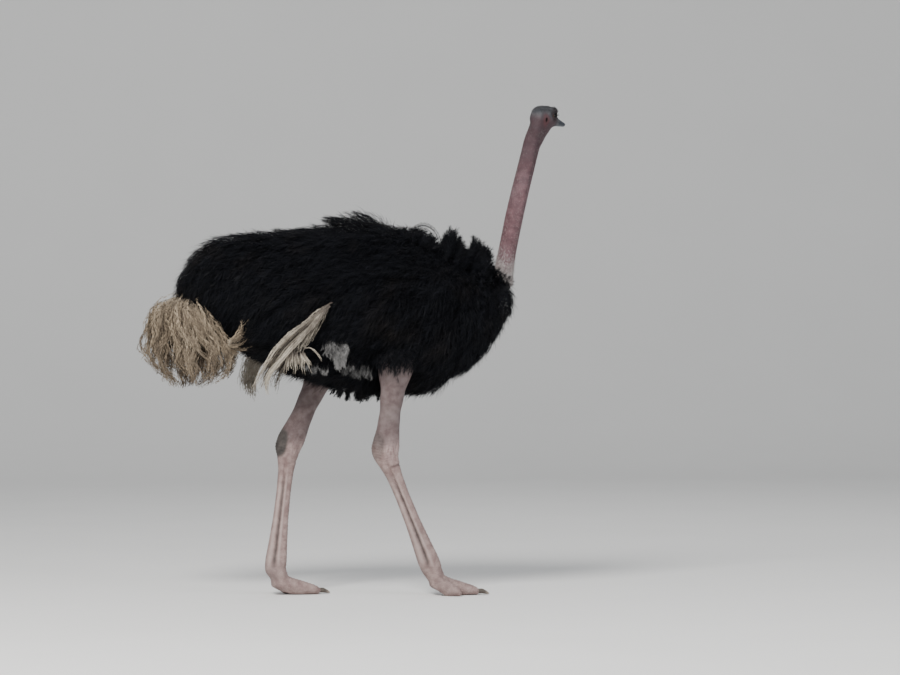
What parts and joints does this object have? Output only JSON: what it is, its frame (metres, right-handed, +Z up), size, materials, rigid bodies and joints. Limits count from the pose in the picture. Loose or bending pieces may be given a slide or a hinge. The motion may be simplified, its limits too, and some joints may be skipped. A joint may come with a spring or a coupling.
{
  "type": "ostrich",
  "caption": "Life-size standing model of a cock ostrich in mid-stride, neck raised and head turned to its left, with folded wings and drooping tail plumes.",
  "frame": {"origin": "on the floor under the middle of the bird's outline", "axes": "+X is the way the bird walks, +Y is its left, +Z is up"},
  "size_m": [1.8318, 0.6848, 2.1003],
  "materials": {
    "black_plumage": "soft black feathers, loose barbs, faint sheen",
    "pale_quills": "cream-white quills with loose barbs",
    "buff_tail_plumes": "drooping tail plumes, dusty buff, matt",
    "pink_neck_skin": "bare muted pink skin with short pale down",
    "grey_head_skin": "grey-brown skin under sparse bristles",
    "leg_skin": "pale pink skin, scuted on the shin and toes",
    "bill_horn": "dull dark horn",
    "claw_horn": "worn dark horn",
    "eye": "glossy dark brown"
  },
  "bodies": {
    "root": {"big_toe_left": "leg_skin", "big_toe_right": "leg_skin", "bill_lower": "bill_horn", "bill_upper": "bill_horn", "claw_left": "claw_horn", "claw_right": "claw_horn", "eye_left": "eye", "eye_right": "eye", "head": "grey_head_skin", "neck_lower": "pink_neck_skin", "neck_upper": "pink_neck_skin", "quills_left": "pale_quills", "quills_right": "pale_quills", "ruff_front": "black_plumage", "ruff_middle": "black_plumage", "ruff_rear": "black_plumage", "shank_left": "leg_skin", "shank_right": "leg_skin", "small_toe_left": "leg_skin", "small_toe_right": "leg_skin", "tail": "buff_tail_plumes", "thigh_left": "leg_skin", "thigh_right": "leg_skin", "trunk": "black_plumage", "wing_left": "black_plumage", "wing_right": "black_plumage"}
  },
  "joints": []
}
